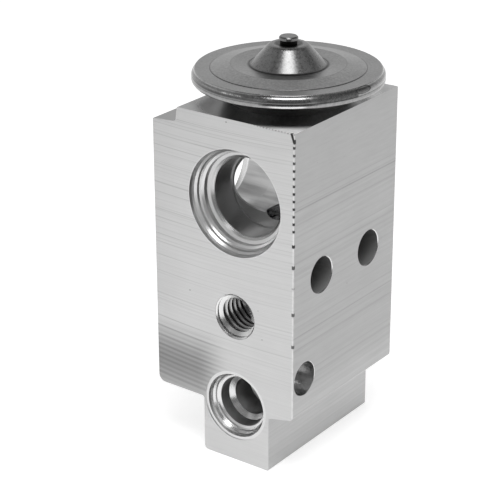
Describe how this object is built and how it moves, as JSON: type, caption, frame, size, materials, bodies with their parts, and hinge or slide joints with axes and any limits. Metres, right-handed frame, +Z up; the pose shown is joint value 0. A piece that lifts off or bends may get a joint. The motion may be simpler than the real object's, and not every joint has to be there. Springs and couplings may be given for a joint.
{
  "type": "thermostatic expansion valve",
  "caption": "Right-angle block expansion valve: stepped ports in front and left faces, threaded clamp hole, through bolt holes, sprung ball on a push rod, coned power element on top.",
  "frame": {"origin": "on the valve axis, at the lower face of the block's foot", "axes": "+Z up the valve axis to the power element, -Y out of the front face with the suction outlet and liquid inlet, -X out of the evaporator side, +X out of the face with the bolt and pin holes"},
  "size_m": [0.0344, 0.0338, 0.0759],
  "materials": {
    "block_aluminium": "sawn and extruded, bright",
    "cover_steel": "pressed, satin",
    "weld_steel": "fused bead, glossy",
    "plug_steel": "dark, semi-gloss",
    "spring_steel": "rolled, semi-gloss",
    "pad_aluminium": "turned, satin",
    "rod_steel": "ground",
    "ball_steel": "polished",
    "turned_brass": "turned",
    "seal_rubber": "matte"
  },
  "bodies": {
    "housing": {"valve_block": "block_aluminium", "upper_cover": "cover_steel", "lower_cover": "cover_steel", "weld_bead": "weld_steel", "charge_plug": "plug_steel", "diaphragm": "spring_steel", "element_seal": "seal_rubber", "rod_seal": "seal_rubber", "seal_retainer": "spring_steel", "valve_spring": "spring_steel"},
    "valve_train": {"diaphragm_pad": "pad_aluminium", "push_rod": "rod_steel", "valve_ball": "ball_steel", "ball_carrier": "rod_steel", "damper_spring": "spring_steel"},
    "screw_carriage": {"adjuster_seal": "seal_rubber"},
    "adjuster": {"adjusting_screw": "turned_brass"}
  },
  "joints": [
    {"name": "valve_lift", "type": "slide", "parent": "housing", "child": "valve_train", "axis": [0, 0, 1], "range_m": [-0.0005, 0], "stiffness_N_per_m": 12000, "springref_m": 0.003, "deforming": ["valve_spring", "diaphragm"]},
    {"name": "adjuster_travel", "type": "slide", "parent": "housing", "child": "screw_carriage", "axis": [0, 0, 1], "range_m": [-0.0005, 0.0005], "deforming": ["valve_spring"]},
    {"name": "adjuster_turn", "type": "hinge", "parent": "screw_carriage", "child": "adjuster", "pos_m": [0, 0, 0.0012], "axis": [0, 0, 1], "range_deg": [-180, 180]}
  ],
  "couplings": [
    {"joint": "adjuster_turn", "follows": "adjuster_travel", "rad_per_m": 6283.2}
  ]
}
